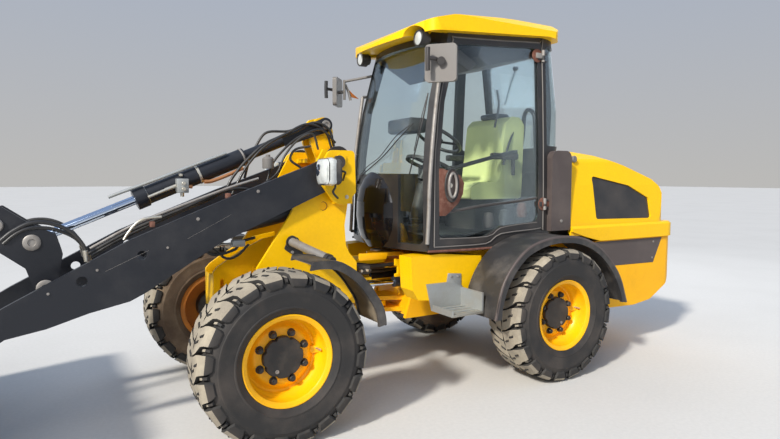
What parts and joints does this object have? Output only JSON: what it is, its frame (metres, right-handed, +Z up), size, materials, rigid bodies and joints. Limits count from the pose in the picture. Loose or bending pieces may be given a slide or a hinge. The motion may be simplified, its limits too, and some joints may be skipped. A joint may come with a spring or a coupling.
{
  "type": "compact articulated wheel loader",
  "caption": "Compact articulated wheel loader with glazed cab, lift arms, bucket, fendered wheels and a sloping rear hood.",
  "frame": {"origin": "centre of the overall box at ground level, under the machine", "axes": "+X forward, towards the bucket; +Y to the driver's left; +Z up"},
  "size_m": [6.218, 1.86, 2.6285],
  "materials": {
    "yellow_paint": "gloss",
    "black_paint": "satin",
    "black_plastic": "matte",
    "grey_plastic": "matte",
    "gloss_black": "gloss",
    "glass": "clear",
    "tyre": "matte",
    "chrome": "polished",
    "galvanised": "satin",
    "seat_cloth": "satin",
    "engine_iron": "matte",
    "yellow_cast": "satin",
    "lamp": "gloss",
    "axle_paint": "satin"
  },
  "bodies": {
    "rear_body": {"rear_frame": "yellow_paint", "rear_axle": "axle_paint", "engine": "engine_iron", "counterweight": "yellow_cast", "side_panels": "grey_plastic", "cab_body": "black_paint", "cab_glass": "glass", "cab_nose": "gloss_black", "cab_roof": "yellow_paint", "mirrors": "black_plastic", "work_lights": "lamp", "cab_cover": "grey_plastic", "seat": "seat_cloth", "seat_base": "black_plastic", "steering_console": "black_plastic", "fender_rear_left": "black_plastic", "fender_rear_right": "black_plastic", "step_left": "galvanised", "step_right": "galvanised", "tank_left": "yellow_paint", "tank_right": "yellow_paint"},
    "hood_body": {"hood": "yellow_paint", "hood_grilles": "grey_plastic"},
    "door_body": {"door_left": "black_paint", "door_glass": "glass"},
    "front_body": {"front_frame": "yellow_paint", "front_axle": "axle_paint", "fender_front_left": "black_plastic", "fender_front_right": "black_plastic", "headlights": "lamp"},
    "arms_body": {"lift_arms": "black_paint"},
    "lever_body": {"tilt_lever": "black_paint"},
    "link_body": {"tilt_link": "black_paint"},
    "bucket_body": {"quick_hitch": "black_paint", "bucket": "black_paint"},
    "neck_body": {"tilt_neck": "black_paint"},
    "tilt_barrel_body": {"tilt_barrel": "black_paint"},
    "tilt_rod_body": {"tilt_rod": "chrome"},
    "lift_barrel_left_body": {"lift_barrel_left": "black_paint"},
    "lift_rod_left_body": {"lift_rod_left": "chrome"},
    "steer_barrel_left_body": {"steer_barrel_left": "black_paint"},
    "steer_rod_left_body": {"steer_rod_left": "chrome"},
    "lift_barrel_right_body": {"lift_barrel_right": "black_paint"},
    "lift_rod_right_body": {"lift_rod_right": "chrome"},
    "steer_barrel_right_body": {"steer_barrel_right": "black_paint"},
    "steer_rod_right_body": {"steer_rod_right": "chrome"},
    "wheel_front_left_body": {"wheel_front_left": "yellow_paint", "tyre_front_left": "tyre"},
    "wheel_front_right_body": {"wheel_front_right": "yellow_paint", "tyre_front_right": "tyre"},
    "wheel_rear_left_body": {"wheel_rear_left": "yellow_paint", "tyre_rear_left": "tyre"},
    "wheel_rear_right_body": {"wheel_rear_right": "yellow_paint", "tyre_rear_right": "tyre"}
  },
  "joints": [
    {"name": "articulation", "type": "hinge", "parent": "rear_body", "child": "front_body", "pos_m": [-0.371, 0, 0.7], "axis": [0, 0, 1], "range_deg": [-38, 38]},
    {"name": "lift", "type": "hinge", "parent": "front_body", "child": "arms_body", "pos_m": [0.099, 0, 1.58], "axis": [0, -1, 0], "range_deg": [0, 68]},
    {"name": "tilt", "type": "hinge", "parent": "arms_body", "child": "bucket_body", "pos_m": [2.229, 0, 0.42], "axis": [0, 1, 0], "range_deg": [-20, 45]},
    {"name": "tilt_lever_pivot", "type": "hinge", "parent": "arms_body", "child": "lever_body", "pos_m": [1.769, 0, 0.85], "axis": [0, 1, 0], "range_deg": [-15.22, 34.25]},
    {"name": "tilt_link_pivot", "type": "hinge", "parent": "lever_body", "child": "link_body", "pos_m": [1.989, 0, 1.2], "axis": [0, 1, 0], "range_deg": [-39.6, 17.6]},
    {"name": "tilt_cylinder_pivot", "type": "hinge", "parent": "front_body", "child": "neck_body", "pos_m": [0.077, 0, 1.816], "axis": [0, -1, 0], "range_deg": [0, 69.04]},
    {"name": "tilt_cylinder_slide", "type": "slide", "parent": "neck_body", "child": "tilt_barrel_body", "axis": [0.9254, 0, -0.379], "range_m": [-0.26367, 0]},
    {"name": "tilt_rod_slide", "type": "slide", "parent": "tilt_barrel_body", "child": "tilt_rod_body", "axis": [0.9254, 0, -0.379], "range_m": [-0.06671, 0.14946]},
    {"name": "lift_cylinder_pivot_left", "type": "hinge", "parent": "front_body", "child": "lift_barrel_left_body", "pos_m": [0.189, 0.205, 1.27], "axis": [0, -1, 0], "range_deg": [0, 66.34]},
    {"name": "lift_rod_slide_left", "type": "slide", "parent": "lift_barrel_left_body", "child": "lift_rod_left_body", "axis": [0.9792, 0, -0.2031], "range_m": [0, 0.36004]},
    {"name": "steer_cylinder_pivot_left", "type": "hinge", "parent": "rear_body", "child": "steer_barrel_left_body", "pos_m": [-0.851, 0.185, 0.7], "axis": [0, 0, 1], "range_deg": [-10.65, 10.65]},
    {"name": "steer_rod_slide_left", "type": "slide", "parent": "steer_barrel_left_body", "child": "steer_rod_left_body", "axis": [1, 0, 0], "range_m": [-0.11973, 0.11973]},
    {"name": "lift_cylinder_pivot_right", "type": "hinge", "parent": "front_body", "child": "lift_barrel_right_body", "pos_m": [0.189, -0.205, 1.27], "axis": [0, -1, 0], "range_deg": [0, 66.34]},
    {"name": "lift_rod_slide_right", "type": "slide", "parent": "lift_barrel_right_body", "child": "lift_rod_right_body", "axis": [0.9792, 0, -0.2031], "range_m": [0, 0.36004]},
    {"name": "steer_cylinder_pivot_right", "type": "hinge", "parent": "rear_body", "child": "steer_barrel_right_body", "pos_m": [-0.851, -0.185, 0.7], "axis": [0, 0, 1], "range_deg": [-10.65, 10.65]},
    {"name": "steer_rod_slide_right", "type": "slide", "parent": "steer_barrel_right_body", "child": "steer_rod_right_body", "axis": [1, 0, 0], "range_m": [-0.11973, 0.11973]},
    {"name": "door_hinge", "type": "hinge", "parent": "rear_body", "child": "door_body", "pos_m": [-1.521, 0.572, 1.26], "axis": [0, -0.0418, 0.9991], "range_deg": [0, 95]},
    {"name": "hood_hinge", "type": "hinge", "parent": "rear_body", "child": "hood_body", "pos_m": [-1.787, 0, 1.63], "axis": [0, 1, 0], "range_deg": [0, 50]},
    {"name": "spin_front_left", "type": "hinge", "parent": "front_body", "child": "wheel_front_left_body", "pos_m": [0.669, 0.765, 0.48], "axis": [0, 1, 0], "continuous": true},
    {"name": "spin_front_right", "type": "hinge", "parent": "front_body", "child": "wheel_front_right_body", "pos_m": [0.669, -0.765, 0.48], "axis": [0, 1, 0], "continuous": true},
    {"name": "spin_rear_left", "type": "hinge", "parent": "rear_body", "child": "wheel_rear_left_body", "pos_m": [-1.411, 0.765, 0.48], "axis": [0, 1, 0], "continuous": true},
    {"name": "spin_rear_right", "type": "hinge", "parent": "rear_body", "child": "wheel_rear_right_body", "pos_m": [-1.411, -0.765, 0.48], "axis": [0, 1, 0], "continuous": true}
  ],
  "couplings": [
    {"joint": "tilt_lever_pivot", "follows": "tilt", "ratio": 0.761},
    {"joint": "tilt_link_pivot", "follows": "tilt", "ratio": -0.88},
    {"joint": "tilt_cylinder_pivot", "follows": "lift", "ratio": 1.0153},
    {"joint": "tilt_cylinder_slide", "follows": "lift", "m_per_rad": -0.22174},
    {"joint": "tilt_rod_slide", "follows": "tilt", "m_per_rad": 0.18965},
    {"joint": "lift_cylinder_pivot_left", "follows": "lift", "ratio": 0.97554},
    {"joint": "lift_rod_slide_left", "follows": "lift", "m_per_rad": 0.30294},
    {"joint": "steer_cylinder_pivot_left", "follows": "articulation", "ratio": 0.28018},
    {"joint": "steer_rod_slide_left", "follows": "articulation", "m_per_rad": -0.17977},
    {"joint": "lift_cylinder_pivot_right", "follows": "lift", "ratio": 0.97554},
    {"joint": "lift_rod_slide_right", "follows": "lift", "m_per_rad": 0.30294},
    {"joint": "steer_cylinder_pivot_right", "follows": "articulation", "ratio": 0.28018},
    {"joint": "steer_rod_slide_right", "follows": "articulation", "m_per_rad": 0.17977}
  ]
}
